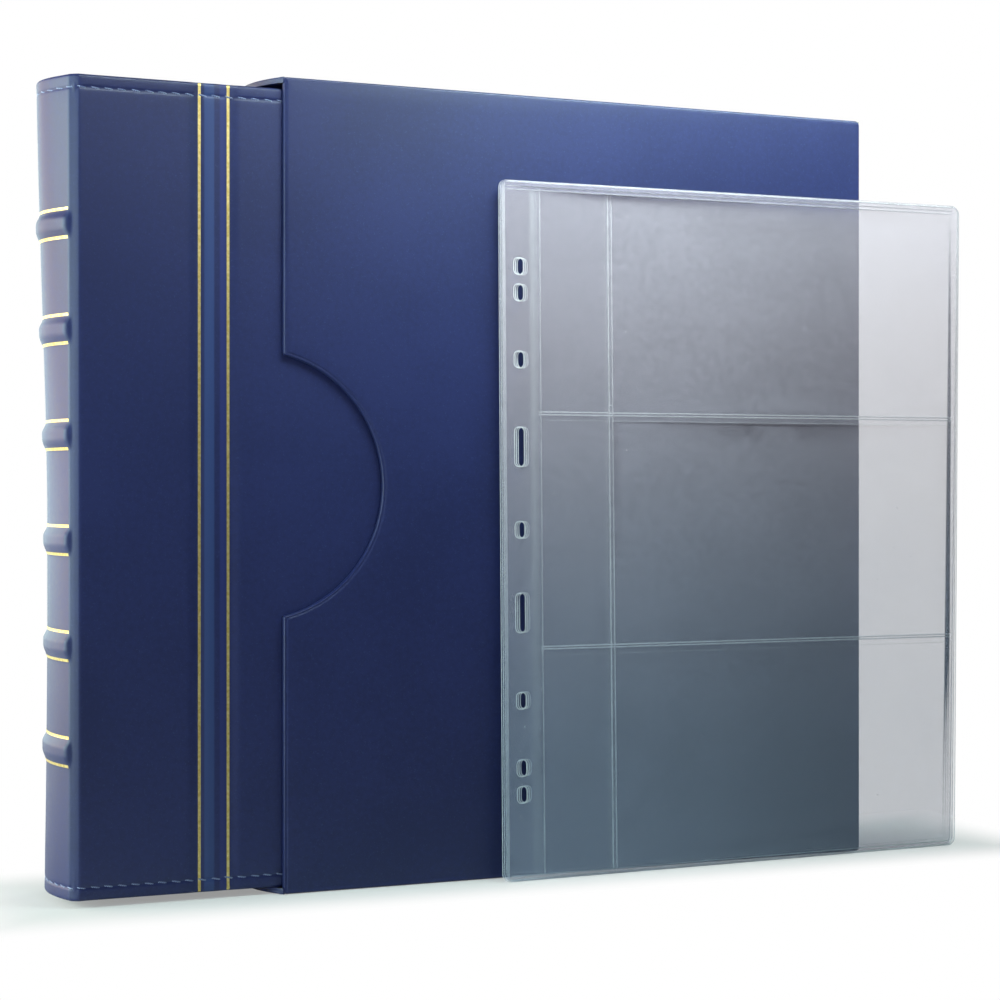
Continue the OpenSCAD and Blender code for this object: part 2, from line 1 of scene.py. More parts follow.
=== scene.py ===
"""A stamp album in navy leather, half drawn from its slipcase, with three loose pocket pages leaning on the case.

Points are worked out in millimetres and made into meshes in metres. X runs from the mouth of the case to its closed
end, Y from front to back, Z up.
"""

import math
import random

import bmesh
import bpy
import numpy as np
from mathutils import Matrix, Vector, geometry


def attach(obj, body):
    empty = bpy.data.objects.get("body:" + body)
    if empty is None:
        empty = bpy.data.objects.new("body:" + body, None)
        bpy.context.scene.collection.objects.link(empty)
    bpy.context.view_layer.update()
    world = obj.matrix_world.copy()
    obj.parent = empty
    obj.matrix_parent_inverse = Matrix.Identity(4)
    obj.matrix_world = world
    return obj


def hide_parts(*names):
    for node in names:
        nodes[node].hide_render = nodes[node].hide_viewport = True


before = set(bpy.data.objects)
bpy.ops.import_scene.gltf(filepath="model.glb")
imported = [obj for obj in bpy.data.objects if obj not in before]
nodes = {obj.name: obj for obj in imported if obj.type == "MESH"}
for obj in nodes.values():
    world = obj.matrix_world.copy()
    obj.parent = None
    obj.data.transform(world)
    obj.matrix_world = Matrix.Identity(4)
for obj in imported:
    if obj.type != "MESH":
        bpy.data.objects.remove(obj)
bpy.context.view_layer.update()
MM = 0.001


# ---- camera -------------------------------------------------------------------------------------------------------
CAMERA_PLACE = (-0.4240, -0.9316, 0.1771)
CAMERA_YAW = 22.8
LENS = 77.3
HORIZON_SHIFT = -0.0101

camera_data = bpy.data.cameras.new("camera")
camera_data.lens = LENS
camera_data.sensor_width = 36
camera_data.shift_y = HORIZON_SHIFT
camera_data.clip_end = 50
camera = bpy.data.objects.new("camera", camera_data)
camera.location = CAMERA_PLACE
camera.rotation_euler = (math.radians(90), 0, -math.radians(CAMERA_YAW))
bpy.context.scene.collection.objects.link(camera)
bpy.context.scene.camera = camera


# ---- shader sums --------------------------------------------------------------------------------------------------
class Wire:
    """An output of a node, which takes part in sums as a number does."""

    def __init__(self, paint, socket):
        self.paint, self.socket = paint, socket

    def _math(self, operation, *terms):
        return self.paint.node("ShaderNodeMath", {"operation": operation}, dict(enumerate(terms)))

    def __add__(self, other):
        return self._math("ADD", self, other)

    def __sub__(self, other):
        return self._math("SUBTRACT", self, other)

    def __mul__(self, other):
        return self._math("MULTIPLY", self, other)

    def __rsub__(self, other):
        return self._math("SUBTRACT", other, self)

    __radd__ = __add__
    __rmul__ = __mul__

    def above(self, limit):
        return self._math("GREATER_THAN", self, limit)

    def least(self, other):
        return self._math("MINIMUM", self, other)

    def most(self, other):
        return self._math("MAXIMUM", self, other)

    def size(self):
        return self._math("ABSOLUTE", self)

    def span(self, low, high, to_low=0.0, to_high=1.0):
        """Maps low..high to to_low..to_high, smoothly and with both ends held."""
        settings = {"interpolation_type": "SMOOTHSTEP"}
        return self.paint.node("ShaderNodeMapRange", settings, {0: self, 1: low, 2: high, 3: to_low, 4: to_high})


class Paint:
    """A material, or the world, and the nodes that make it."""

    def __init__(self, name, kind=bpy.data.materials):
        self.material = kind.new(name)
        self.material.use_nodes = True
        self.tree = self.material.node_tree
        self.tree.nodes.clear()

    def node(self, kind, settings=None, sockets=None, out=0):
        """Adds a node: its settings first, then the values or links of its sockets. Gives the output asked for."""
        made = self.tree.nodes.new(kind)
        for key, value in (settings or {}).items():
            setattr(made, key, value)
        for key, value in (sockets or {}).items():
            if isinstance(value, Wire):
                self.tree.links.new(value.socket, made.inputs[key])
            elif isinstance(value, tuple) and made.inputs[key].type == "RGBA":
                made.inputs[key].default_value = (*value, 1)
            else:
                made.inputs[key].default_value = value
        return Wire(self, made.outputs[out]) if made.outputs else None

    def place(self):
        """The point on the piece, in metres."""
        return self.node("ShaderNodeTexCoord", out="Object")

    def along(self, axis):
        return self.node("ShaderNodeSeparateXYZ", sockets={0: self.place()}, out=axis)

    def noise(self, scale, detail=2.0, rough=0.5, stretch=None):
        where = self.place()
        if stretch:
            where = self.node("ShaderNodeVectorMath", {"operation": "MULTIPLY"}, {0: where, 1: stretch})
        return self.node("ShaderNodeTexNoise", sockets={
            "Vector": where, "Scale": scale, "Detail": detail, "Roughness": rough})

    def cells(self, scale, feature="DISTANCE_TO_EDGE", out=0):
        return self.node("ShaderNodeTexVoronoi", {"feature": feature}, {"Vector": self.place(), "Scale": scale}, out)

    def mix(self, share, first, second):
        return self.node("ShaderNodeMix", {"data_type": "RGBA"}, {0: share, 6: first, 7: second}, out=2)

    def bump(self, height, distance, strength=1.0):
        """A Bump node; height is 0 to 1 and distance is its depth in millimetres."""
        return self.node("ShaderNodeBump", sockets={"Height": height, "Distance": distance * MM, "Strength": strength})

    def surface(self, sockets):
        """Ends the material in a Principled shader."""
        shader = self.node("ShaderNodeBsdfPrincipled", sockets=sockets)
        self.node("ShaderNodeOutputMaterial", sockets={"Surface": shader})
        return self.material


def srgb(red, green, blue):
    """A colour given as 0 to 255 on screen, as the shader's own numbers."""
    return tuple(c / 12.92 if c <= 0.04045 else ((c + 0.055) / 1.055) ** 2.4
                 for c in (red / 255, green / 255, blue / 255))


# ---- materials ----------------------------------------------------------------------------------------------------
def leather_paint(name, deep, pale, sheen_bands=()):
    """Smooth bonded leather: fine pores, faint cloudiness and a satin face, with upright bands of painted sheen.

    Each band is a painted reflection, a paler colour where the leather turns to the lamps: its two edges in X, the
    blur of the edges, and its colour.
    """
    paint = Paint(name)
    cloud = paint.noise(14, 3, 0.55)
    mottle = paint.noise(420, 2, 0.6)
    speck = paint.noise(1500, 1, 0.5).span(0.66, 0.74)
    tone = (cloud * 0.55 + mottle * 0.45).span(0.36, 0.66)
    colour = paint.mix(tone, deep, pale)
    colour = paint.mix(speck * 0.2, colour, LEATHER_SPECK)
    # Painted reflection: each band mixes in a paler colour in place of light caught by the leather.
    for left, right, blur, sheen_colour in sheen_bands:
        across = paint.along(0)
        inside_left = across.span((left - blur) * MM, (left + blur) * MM)
        past_right = across.span((right - blur) * MM, (right + blur) * MM)
        colour = paint.mix(inside_left * (1 - past_right), colour, sheen_colour)
    grain = paint.cells(1150) * 1.6
    pores = paint.noise(2100, 2, 0.6)
    height = grain.least(0.5) * 0.8 + pores * 0.5
    return paint.surface({
        "Base Color": colour,
        "Roughness": 0.36 + mottle * 0.12 + cloud * 0.06,
        "Specular IOR Level": LEATHER_GLOSS,
        "Normal": paint.bump(height, 0.05, 0.5),
    })


def cloth_paint(name, deep, pale):
    """Dark lining paper with a flocked nap."""
    paint = Paint(name)
    fibre = paint.noise(900, 4, 0.7)
    blot = paint.noise(60, 2, 0.5)
    return paint.surface({
        "Base Color": paint.mix((fibre * 0.7 + blot * 0.3).span(0.35, 0.65), deep, pale),
        "Roughness": 0.82 + fibre * 0.15,
        "Normal": paint.bump(fibre, 0.12, 0.7),
    })


def paper_paint(deep, pale):
    """Endpaper with a laid texture."""
    paint = Paint("endpaper")
    fibre = paint.noise(700, 3, 0.6, (1, 1, 0.2))
    cloud = paint.noise(30, 2, 0.5)
    return paint.surface({
        "Base Color": paint.mix((fibre * 0.6 + cloud * 0.4).span(0.35, 0.65), deep, pale),
        "Roughness": 0.68 + fibre * 0.18,
        "Normal": paint.bump(fibre, 0.06, 0.6),
    })


def board_paint(deep, pale):
    """Grey board, with its pressed layers showing on the edges."""
    paint = Paint("grey_board")
    fibre = paint.noise(500, 4, 0.65, (1, 4, 1))
    return paint.surface({
        "Base Color": paint.mix(fibre.span(0.3, 0.7), deep, pale),
        "Roughness": 0.85 + fibre * 0.1,
        "Normal": paint.bump(fibre, 0.1, 0.6),
    })


def foam_paint(deep, pale):
    """Open-celled foam."""
    paint = Paint("foam")
    cell = paint.cells(1400)
    return paint.surface({
        "Base Color": paint.mix(cell.span(0.0, 0.3), deep, pale),
        "Roughness": 0.9 - cell * 0.1,
        "Normal": paint.bump(cell, 0.15, 0.8),
    })


def foil_paint(deep, pale):
    """Pressed gold foil: brushed a little, and thin where it crosses the grain."""
    paint = Paint("gold_foil")
    rub = paint.noise(650, 3, 0.6)
    fleck = paint.noise(2600, 1, 0.5)
    return paint.surface({
        "Base Color": paint.mix(rub.span(0.3, 0.7), deep, pale),
        "Metallic": 0.80 + rub * 0.12,
        "Roughness": 0.34 + fleck * 0.16,
        "Normal": paint.bump(fleck, 0.02, 0.5),
    })


def thread_paint(deep, pale):
    """Twisted waxed thread."""
    paint = Paint("thread")
    twist = paint.node("ShaderNodeTexWave", {"bands_direction": "DIAGONAL"}, {
        "Vector": paint.place(), "Scale": 900.0, "Distortion": 0.4}, out=1)
    return paint.surface({
        "Base Color": paint.mix(twist, deep, pale),
        "Roughness": 0.34 + twist * 0.12,
        "Normal": paint.bump(twist, 0.06, 0.8),
    })


def steel_paint(deep, pale):
    """Nickel-plated steel with faint drawing marks."""
    paint = Paint("plated_steel")
    mark = paint.noise(900, 3, 0.6, (1, 1, 0.08))
    return paint.surface({
        "Base Color": paint.mix(mark.span(0.3, 0.7), deep, pale),
        "Metallic": 1.0,
        "Roughness": 0.16 + mark * 0.14,
        "Normal": paint.bump(mark, 0.01, 0.4),
    })


def film_paint(name, alpha, head, foot, roughness):
    """Clear polypropylene film: a milky layer with painted reflection, paler at the head and at the left and bluer
    towards the foot, rubbed specks and a soft shine.
    """
    paint = Paint(name)
    cloud = paint.noise(26, 2, 0.5)
    pebble = paint.noise(900, 2, 0.55)
    rub = paint.noise(330, 2, 0.6).span(0.35, 0.68)
    pick = paint.node("ShaderNodeSeparateColor", sockets={0: paint.cells(DUST_PER_METRE, "F1", 1)})
    dust = (1 - paint.cells(DUST_PER_METRE, "F1").span(0.02, 0.05)) * pick.above(DUST_MISSING)
    # Painted reflection: the film's colour is paler and pinker at the head and bluer at the foot.
    haze_and_painted_sheen = paint.mix(paint.along(2).span(PAINTED_SHEEN_FOOT, PAINTED_SHEEN_HEAD), foot, head)
    # Painted light: the film is brightest at the left, towards the lamps there, and about a quarter dimmer to the
    # right; cloud and rub are real marks.
    strength = paint.along(0).span(-0.05, 0.17, 1.0, 0.76) * (0.86 + cloud * 0.10 + rub * 0.16)
    body = paint.mix(strength, BLACK, haze_and_painted_sheen)
    return paint.surface({
        "Base Color": paint.mix(dust, body, DUST_WHITE),
        "Roughness": roughness + pebble * 0.1,
        "Alpha": alpha + cloud * 0.02 + dust * 0.3,
        "Normal": paint.bump(pebble, 0.02, 0.5),
    })


BLACK = (0.0, 0.0, 0.0)
# Specks of dust on the film: cells to a metre, the share of them that holds none, and their colour.
DUST_PER_METRE, DUST_MISSING, DUST_WHITE = 110.0, 0.66, (0.95, 0.95, 0.95)
# Heights in metres between which the film's painted reflection turns from the foot's colour to the head's.
PAINTED_SHEEN_FOOT, PAINTED_SHEEN_HEAD = 0.03, 0.26
LEATHER_GLOSS = 0.5
LEATHER_SPECK = srgb(70, 88, 130)
NAVY_DEEP = srgb(22, 31, 79)
NAVY_PALE = srgb(29, 38, 91)
leather = leather_paint("navy_leather", NAVY_DEEP, NAVY_PALE)
# Bands of painted reflection beside the two gold lines of a cover, paler than the leather: teal beside the first,
# violet beside the second.
PAINTED_SHEEN_BANDS = [(-181.9, -177.6, 0.5, srgb(42, 61, 112)), (-175.0, -171.9, 0.6, srgb(38, 47, 108))]
cover_leather = leather_paint("cover_leather", NAVY_DEEP, NAVY_PALE, PAINTED_SHEEN_BANDS)
lining = cloth_paint("case_lining", srgb(20, 17, 20), srgb(38, 31, 32))
endpaper = paper_paint(srgb(30, 38, 70), srgb(44, 54, 92))
board = board_paint(srgb(128, 122, 110), srgb(168, 162, 150))
foam = foam_paint(srgb(190, 186, 170), srgb(232, 228, 214))
foil = foil_paint(srgb(214, 186, 104), srgb(238, 216, 148))
thread = thread_paint(srgb(62, 74, 120), srgb(150, 160, 196))
steel = steel_paint(srgb(186, 188, 192), srgb(214, 215, 217))
# For each finish of the film: its opacity, the colours of its milky layer at the head and the foot, which are painted
# reflection, and its roughness.
film = film_paint("clear_film", 0.118, (0.76, 0.64, 0.77), (0.54, 0.62, 0.84), 0.35)
film_soft = film_paint("pressed_film", 0.17, (0.86, 0.77, 0.86), (0.60, 0.68, 0.85), 0.30)
film_line = film_paint("welded_film", 0.66, (0.92, 0.86, 0.90), (0.86, 0.92, 0.98), 0.25)
film_edge = film_paint("film_edge", 0.62, (0.90, 0.84, 0.88), (0.84, 0.90, 0.96), 0.30)


# ---- mesh helpers -------------------------------------------------------------------------------------------------
def piece(name, points, faces, materials, body, slot=None, sharp=40, face_materials=None):
    """A mesh from points in millimetres, riding on a CAD body."""
    mesh = bpy.data.meshes.new(name)
    mesh.from_pydata((np.asarray(points, float) * MM).tolist(), [], [list(map(int, f)) for f in faces])
    for material in materials:
        mesh.materials.append(material)
    if face_materials is not None:
        mesh.polygons.foreach_set("material_index", np.asarray(face_materials, np.int32))
    work = bmesh.new()
    work.from_mesh(mesh)
    bmesh.ops.remove_doubles(work, verts=work.verts, dist=1e-7)
    bmesh.ops.dissolve_degenerate(work, edges=work.edges, dist=1e-8)
    bmesh.ops.recalc_face_normals(work, faces=work.faces)
    work.to_mesh(mesh)
    work.free()
    mesh.polygons.foreach_set("use_smooth", [True] * len(mesh.polygons))
    mesh.set_sharp_from_angle(angle=math.radians(sharp))
    made = bpy.data.objects.new(name, mesh)
    bpy.context.scene.collection.objects.link(made)
    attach(made, body)
    return made


def loft_faces(count, ring, closed=True, start=0):
    """Quads between count rings of points, round each ring if it is closed."""
    faces = []
    for k in range(count - 1):
        for m in range(ring if closed else ring - 1):
            a, b = start + k * ring + m, start + k * ring + (m + 1) % ring
            faces.append((a, b, b + ring, a + ring))
    return faces


def loft(rings):
    """Points and faces of a closed form through rings of the same length, with flat ends."""
    rings = np.asarray(rings, float)
    count, ring = rings.shape[:2]
    faces = loft_faces(count, ring)
    faces += [tuple(range(ring)), tuple((count - 1) * ring + m for m in range(ring))]
    return rings.reshape(-1, 3), faces


def slab(top, under):
    """Points and faces of a closed thin form between two grids of points."""
    rows, cols = top.shape[:2]
    rim = ([(r, 0) for r in range(rows)] + [(rows - 1, c) for c in range(1, cols)]
           + [(r, cols - 1) for r in range(rows - 2, -1, -1)] + [(0, c) for c in range(cols - 2, 0, -1)])
    half = rows * cols
    faces = loft_faces(rows, cols, False) + loft_faces(rows, cols, False, half)
    for (r0, c0), (r1, c1) in zip(rim, rim[1:] + rim[:1]):
        a, b = r0 * cols + c0, r1 * cols + c1
        faces.append((a, b, b + half, a + half))
    return np.concatenate([top.reshape(-1, 3), under.reshape(-1, 3)]), faces


def gather(parts):
    """Joins lists of points and faces into one."""
    points, faces, count = [], [], 0
    for some, its_faces in parts:
        points.append(np.asarray(some, float))
        faces += [tuple(i + count for i in face) for face in its_faces]
        count += len(some)
    return np.concatenate(points), faces


def ease(value, low, high):
    """0 below low, 1 above high, and a smooth step between."""
    share = np.clip((value - low) / (high - low), 0, 1)
    return share * share * (3 - 2 * share)


def quarter(steps):
    """Angles of a quarter turn, from 0 to 90 degrees."""
    return np.linspace(0, math.pi / 2, steps + 1)


# ---- the binder's cover -------------------------------------------------------------------------------------------
ALBUM_H, ALBUM_W, ALBUM_T = 350.5, 290.0, 51.6
CORNER_X, ALBUM_Z = -239.0, 2.9
SPINE_SAG, CORNER_R = 4.5, 4.0
HALF_T = ALBUM_T / 2
SPINE_R = (HALF_T ** 2 + SPINE_SAG ** 2) / (2 * SPINE_SAG)
SPINE_CX = SPINE_R - SPINE_SAG
SPINE_ANGLE = math.asin((HALF_T - CORNER_R) / (SPINE_R - CORNER_R))
FILLET_X = SPINE_CX - math.sqrt((SPINE_R - CORNER_R) ** 2 - (HALF_T - CORNER_R) ** 2)
ARC_END = SPINE_R * SPINE_ANGLE
FILLET_END = ARC_END + CORNER_R * (math.pi / 2 - SPINE_ANGLE)
FORE_EDGE = FILLET_END + ALBUM_W - FILLET_X
BAND_HEIGHTS = [ALBUM_H / 2 + (k - 2.5) * 44.9 for k in range(6)]
# A raised band: its height, half of its flat top, and how far its slopes reach above and below its middle.
BAND_RISE, BAND_TOP, BAND_ABOVE, BAND_BELOW = 1.75, 1.3, 5.9, 7.6
LINE_W, LINE_OFFSET = 1.25, 6.05
GOLD_XS = (55.0, 67.8)
# The hollow beside a gold line: its depth and width. Between the two lines the leather rounds down by BEAD_FALL.
GROOVE, GROOVE_W, BEAD_FALL = 0.8, 6.5, 0.65
# The sewing: its distance from the edge, and the depth and width of its narrow and its wide hollow.
SEAM_IN, SEAM_NARROW, SEAM_WIDE = 5.65, (0.34, 0.55), (0.12, 2.0)
# How far the padding falls away at the head and foot and at the fore-edge, and over what width.
EDGE_FALL, FORE_FALL = (0.35, 2.5), (0.45, 3.0)
CORNER_PRESSED = 0.85
# The hollows stay this shallow, so that the leather covers the boards.
DEEPEST = 0.65
EDGE_R, INNER_R = 1.3, 0.7
TURN_IN, STEP = 12.0, 0.05
SPINE_WALL, COVER_WALL = 2.85, 3.85
TURNED_SPINE, TURNED_COVER = 3.3, 4.4


def spread(z):
    """How much further the spine rounds out at a height than its plain outline does."""
    return np.interp(z, [0, 40, 110, 170, 210, 260, 310, ALBUM_H], [1.6, 0.7, -0.4, -0.3, 1.0, 3.0, 4.6, 5.6])


def plan(s):
    """A point of the closed binder's outline and its outward normal, at a distance from the spine's middle."""
    a, side = np.abs(s), np.where(s >= 0, -1.0, 1.0)
    turn = np.where(a < ARC_END, a / SPINE_R,
                    np.minimum(SPINE_ANGLE + (a - ARC_END) / CORNER_R, math.pi / 2))
    on_arc = a < ARC_END
    radius = np.where(on_arc, SPINE_R, CORNER_R)
    x = np.where(on_arc, SPINE_CX, FILLET_X) - radius * np.cos(turn) + np.maximum(a - FILLET_END, 0)
    y = np.where(on_arc, 0, HALF_T - CORNER_R) + radius * np.sin(turn)
    return x, side * y, -np.cos(turn), side * np.sin(turn)


def cover_x(s):
    """Distance of a point of the cover from the line of the spine's corners."""
    return FILLET_X + np.abs(s) - FILLET_END


def relief(s, z):
    """Height of the leather over the outline: bands, hinge, sewing and the soft edges of the padding."""
    a = np.abs(s)
    high = np.zeros(np.broadcast(s, z).shape)
    on_spine = 1 - ease(a, ARC_END - 1.5, ARC_END + 1.5)
    for centre in BAND_HEIGHTS:
        off = z - centre
        slope = 1 - ease(np.abs(off), BAND_TOP, np.where(off > 0, BAND_ABOVE, BAND_BELOW))
        high = high + BAND_RISE * slope * on_spine
    x = cover_x(s)
    on_cover = ease(a, FILLET_END - 2, FILLET_END + 5)
    for gold_x, away in ((GOLD_XS[0], -1), (GOLD_XS[1], 1)):
        off = (x - gold_x) * away
        slope = GROOVE * (1 - ease(off, LINE_W / 2 + 0.05, GROOVE_W)) ** 1.6
        high = high - np.where((off > -LINE_W / 2 - 0.1) & (x > 20), slope, 0) * on_cover
    middle, half = sum(GOLD_XS) / 2, (GOLD_XS[1] - GOLD_XS[0] - LINE_W - 0.2) / 2
    off = np.clip(np.abs(x - middle) / half, 0, 1)
    high = high - np.where(np.abs(x - middle) < half, 0.05 + BEAD_FALL * off ** 2.6, 0) * on_cover
    high = high - FORE_FALL[0] * np.exp(-np.maximum(ALBUM_W - x, 0) / FORE_FALL[1]) * on_cover
    half_turn = (math.pi / 2 - SPINE_ANGLE) / 2
    round_it = np.clip((a - ARC_END) / CORNER_R, 0, 2 * half_turn) - half_turn
    high = high - CORNER_PRESSED * CORNER_R * (1 - math.cos(half_turn) / np.cos(round_it))
    foot = np.minimum(z, ALBUM_H - z)
    high = np.where(high < 0, high * (1 - 0.4 * np.exp(-foot / 1.5)), high)
    seam = sum(np.exp(-((foot - SEAM_IN) / width) ** 2) * depth for depth, width in (SEAM_NARROW, SEAM_WIDE))
    edge = EDGE_FALL[0] * np.exp(-foot / EDGE_FALL[1]) * on_cover
    return high - np.minimum(seam + edge, np.maximum(DEEPEST + high, 0))


def in_binder(x, y, z):
    """Points of the binder's own frame, put where the binder stands."""
    return np.stack(np.broadcast_arrays(x + CORNER_X, y, z + ALBUM_Z), axis=-1)


def cover_point(s, z, lift=0.0, below=0.0, inset=0.0):
    """A point on the leather; lift raises it, and below takes it from the plain outline into the wall."""
    s, z = np.asarray(s, float), np.asarray(z, float)
    x, y, nx, ny = plan(s)
    a = np.abs(s)
    outside = np.where(below > 0, 0, 1)
    flare = outside * spread(z) * np.cos(np.clip(a / (ARC_END + 2.5), 0, 1) * math.pi / 2) ** 1.5
    up = outside * relief(s, z) + lift - inset - below
    return in_binder(x - flare + nx * up, y + ny * up, z)


def wall(s, turned):
    """Thickness of the cover's wall, with or without the turned-in leather."""
    on_cover = ease(np.abs(s), FILLET_END - 1, FILLET_END + 3)
    spine, cover = (TURNED_SPINE, TURNED_COVER) if turned else (SPINE_WALL, COVER_WALL)
    return spine + (cover - spine) * on_cover


def cover_levels():
    """Heights of the rows on the outside of the cover, closer together where the leather rises and falls."""
    rows = set(np.arange(EDGE_R, ALBUM_H - EDGE_R, 7.0))
    for centre in BAND_HEIGHTS:
        rows |= set(centre + np.arange(-9.6, 9.61, 0.6))
    for seam in (SEAM_IN, ALBUM_H - SEAM_IN):
        rows |= set(seam + np.arange(-2.8, 2.81, 0.35))
    rows |= {EDGE_R, 1.9, ALBUM_H - EDGE_R, ALBUM_H - 1.9}
    rows = sorted(r for r in rows if EDGE_R <= r <= ALBUM_H - EDGE_R)
    return [r for k, r in enumerate(rows) if k == 0 or r - rows[k - 1] > 0.2]


def cover_columns():
    """Distances round the outline, from the rear fore-edge to the front one."""
    half = list(np.linspace(0, ARC_END, 24)) + list(np.linspace(ARC_END, FILLET_END, 10))[1:]
    xs = [4, 5.5, 8, 12, 20, 30, 40, 46] + list(np.arange(48, 53.9, 0.6)) + list(np.arange(54.0, 56.01, 0.25))
    xs += list(np.arange(56.4, 66.5, 0.5)) + list(np.arange(66.8, 68.81, 0.25)) + list(np.arange(69.3, 76, 0.6))
    xs += [80, 90, 110, 140, 180, 220, 250, 268, 276, 278, 278.1, 282, 285, 287, 288]
    half += [FILLET_END + x - FILLET_X for x in xs]
    half = np.array(half)
    return np.concatenate([-half[:0:-1], half])


def cover_ring(s, squeeze=0.0):
    """The closed upright section through the cover at a distance round the outline."""
    parts = []
    levels = np.array(cover_levels())
    parts.append(cover_point(s, levels, inset=squeeze))
    head = quarter(5)[1:]
    parts.append(cover_point(s, ALBUM_H - EDGE_R + EDGE_R * np.sin(head),
                             inset=EDGE_R * (1 - np.cos(head)) + squeeze))
    turned, plain = wall(s, True) - squeeze, wall(s, False) - squeeze
    fold = quarter(3)[::-1]
    parts.append(cover_point(s, ALBUM_H - INNER_R + INNER_R * np.sin(fold),
                             below=turned - INNER_R * (1 - np.cos(fold))))
    recessed = turned if abs(s) > FORE_EDGE - TURN_IN - STEP else plain
    inside = np.array([ALBUM_H - TURN_IN, ALBUM_H - TURN_IN - STEP, TURN_IN + STEP, TURN_IN])
    parts.append(cover_point(s, inside, below=np.array([turned, recessed, recessed, turned])))
    parts.append(cover_point(s, INNER_R - INNER_R * np.sin(fold[::-1]),
                             below=turned - INNER_R * (1 - np.cos(fold[::-1]))))
    parts.append(cover_point(s, EDGE_R - EDGE_R * np.sin(head[::-1]),
                             inset=EDGE_R * (1 - np.cos(head[::-1])) + squeeze))
    return np.concatenate(parts)


columns = cover_columns()
rounding = quarter(5)[1:]
ends = FORE_EDGE - EDGE_R + EDGE_R * np.sin(rounding)
tucks = EDGE_R * (1 - np.cos(rounding))
rings = ([cover_ring(-s, t) for s, t in zip(ends[::-1], tucks[::-1])] + [cover_ring(s) for s in columns]
         + [cover_ring(s, t) for s, t in zip(ends, tucks)])
cover = piece("binder_cover_leather", *loft(rings), [cover_leather], "binder", "leather", sharp=50)
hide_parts("binder_leather")


# ---- gold lines ---------------------------------------------------------------------------------------------------
FOIL_LIFT, FOIL_T = 0.07, 0.12


def ribbon(s, z):
    """A strip of foil over the grid of distances s and heights z."""
    return slab(cover_point(s, z, lift=FOIL_LIFT), cover_point(s, z, lift=FOIL_LIFT - FOIL_T))


foil_end = ARC_END - 0.3
lines = []
for height in BAND_HEIGHTS:
    for side in (-1, 1):
        across = height + side * LINE_OFFSET + np.linspace(-LINE_W / 2, LINE_W / 2, 6)
        lines.append(ribbon(*np.meshgrid(np.linspace(-foil_end, foil_end, 60), across)))
spine_lines = piece("spine_foil_lines", *gather(lines), [foil], "binder", "gold_foil", sharp=60)
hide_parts("spine_gold_lines")

line_levels = np.array([0.35, 0.8] + cover_levels() + [ALBUM_H - 0.8, ALBUM_H - 0.35])
for side, word in ((1, "front"), (-1, "rear")):
    lines = []
    for gold_x in GOLD_XS:
        across = side * (FILLET_END + gold_x - FILLET_X + np.linspace(-LINE_W / 2, LINE_W / 2, 4))
        s, z = np.meshgrid(across, line_levels)
        edge = np.minimum(z, ALBUM_H - z)
        sunk = np.where(edge < EDGE_R, EDGE_R - np.sqrt(np.maximum(EDGE_R ** 2 - (EDGE_R - edge) ** 2, 0)), 0)
        top = cover_point(s, z, lift=FOIL_LIFT, inset=sunk)
        lines.append(slab(top, cover_point(s, z, lift=FOIL_LIFT - FOIL_T, inset=sunk)))
    gold = piece(f"{word}_foil_lines", *gather(lines), [foil], "binder", "gold_foil", sharp=60)
    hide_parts(f"{word}_gold_lines")


# ---- stitching ----------------------------------------------------------------------------------------------------
STITCH_PITCH, STITCH_LEN, THREAD_R, STITCH_SLANT = 5.85, 4.5, 0.30, 0.42
STITCH_LIFT, STITCH_DIP = 0.16, 0.62


def stitch(s_middle, z_middle, rise):
    """One stitch: a short arched thread, its ends down in the leather and a little askew."""
    along = np.linspace(-1, 1, 9)
    s = s_middle + along * STITCH_LEN / 2
    z = z_middle + along * rise
    lift = STITCH_LIFT - STITCH_DIP * np.abs(along) ** 3.0
    centre = cover_point(s, z, lift=lift)
    tangent = np.gradient(centre, axis=0)
    tangent /= np.linalg.norm(tangent, axis=1)[:, None]
    outward = cover_point(s, z, lift=lift + 1.0) - centre
    aside = np.cross(tangent, outward)
    aside /= np.linalg.norm(aside, axis=1)[:, None]
    outward = np.cross(aside, tangent)
    radius = THREAD_R * np.sqrt(np.maximum(1 - np.abs(along) ** 6, 0.05))[:, None]
    turns = np.linspace(0, 2 * math.pi, 7)[:-1]
    return loft([[centre[k] + radius[k] * (math.cos(t) * aside[k] * 1.15 + math.sin(t) * outward[k] * 0.8)
                  for t in turns] for k in range(len(along))])


rng = random.Random(7)
reach = FORE_EDGE - 6
count = int(reach / STITCH_PITCH)
for word, seam in (("head", ALBUM_H - SEAM_IN), ("foot", SEAM_IN)):
    threads = []
    for k in range(-count, count + 1):
        s = k * STITCH_PITCH + rng.uniform(-0.18, 0.18)
        slant = -STITCH_SLANT * (1 if s >= 0 else -1) * rng.uniform(0.8, 1.25)
        threads.append(stitch(s, seam + rng.uniform(-0.07, 0.07), slant))
    piece(f"{word}_stitching", *gather(threads), [thread], "binder", sharp=80)


# ---- the slipcase -------------------------------------------------------------------------------------------------
CASE_W, CASE_T, CASE_H = 294.0, 58.0, 358.0
MOUTH_X, END_X, CASE_HALF = -CASE_W / 2, CASE_W / 2, CASE_T / 2
SIDE_WALL = 2.2
THUMB_H, THUMB_DEPTH, LIP_SAG = 114.6, 46.0, 10.0
THUMB_R = ((THUMB_H / 2) ** 2 + THUMB_DEPTH ** 2) / (2 * THUMB_DEPTH)
THUMB_CX = MOUTH_X + THUMB_DEPTH - THUMB_R
LIP_R = (CASE_HALF ** 2 + LIP_SAG ** 2) / (2 * LIP_SAG)

